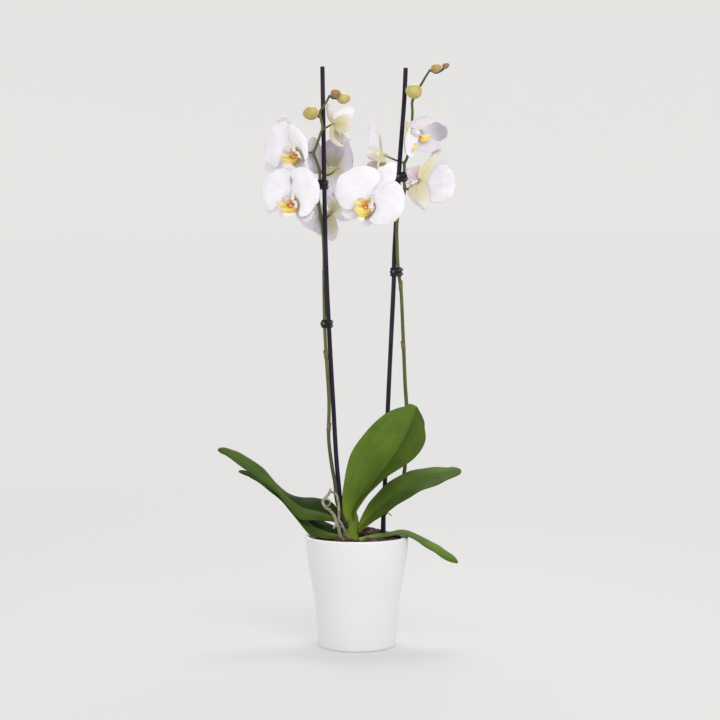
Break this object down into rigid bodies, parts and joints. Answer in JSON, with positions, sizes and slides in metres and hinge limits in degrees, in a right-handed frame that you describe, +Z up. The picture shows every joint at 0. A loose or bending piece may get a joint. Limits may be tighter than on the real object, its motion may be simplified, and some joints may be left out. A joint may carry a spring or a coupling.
{
  "type": "potted orchid",
  "caption": "Potted moth orchid: staked flower stems with open white blooms and buds above broad strap leaves and aerial roots, in a round tapered ceramic cover pot.",
  "frame": {"origin": "centre of the cover pot's flat underside, where it stands on a table", "axes": "+Z up along the pot axis, +X to the right and -Y towards the viewer of the front"},
  "size_m": [0.3093, 0.1314, 0.745],
  "materials": {
    "pot_glaze": "gloss",
    "grow_pot_plastic": "satin",
    "bark": "matte",
    "crown_and_roots": "satin",
    "leaf": "satin",
    "flower_stem": "satin",
    "stake": "satin",
    "clip": "gloss",
    "bud": "satin",
    "sepal": "satin",
    "petal": "satin",
    "lip": "satin"
  },
  "bodies": {
    "root": {"bark": "bark", "bud_a": "bud", "bud_b": "bud", "bud_c": "bud", "bud_d": "bud", "bud_e": "bud", "bud_f": "bud", "clip_left_lower": "clip", "clip_left_upper": "clip", "clip_right_lower": "clip", "clip_right_upper": "clip", "cover_pot": "pot_glaze", "crown": "crown_and_roots", "grow_pot": "grow_pot_plastic", "l1_lip": "lip", "l1_petal_left": "petal", "l1_petal_right": "petal", "l1_sepals": "sepal", "l2_lip": "lip", "l2_petal_left": "petal", "l2_petal_right": "petal", "l2_sepals": "sepal", "l3a_lip": "lip", "l3a_petal_left": "petal", "l3a_petal_right": "petal", "l3a_sepals": "sepal", "l3b_lip": "lip", "l3b_petal_left": "petal", "l3b_petal_right": "petal", "l3b_sepals": "sepal", "l4_lip": "lip", "l4_petal_left": "petal", "l4_petal_right": "petal", "l4_sepals": "sepal", "leaf_a": "leaf", "leaf_b": "leaf", "leaf_c": "leaf", "leaf_d": "leaf", "leaf_e": "leaf", "r1_lip": "lip", "r1_petal_left": "petal", "r1_petal_right": "petal", "r1_sepals": "sepal", "r2_lip": "lip", "r2_petal_left": "petal", "r2_petal_right": "petal", "r2_sepals": "sepal", "r3_lip": "lip", "r3_petal_left": "petal", "r3_petal_right": "petal", "r3_sepals": "sepal", "r4_lip": "lip", "r4_petal_left": "petal", "r4_petal_right": "petal", "r4_sepals": "sepal", "spike_left": "flower_stem", "spike_right": "flower_stem", "stake_left": "stake", "stake_right": "stake"}
  },
  "joints": []
}
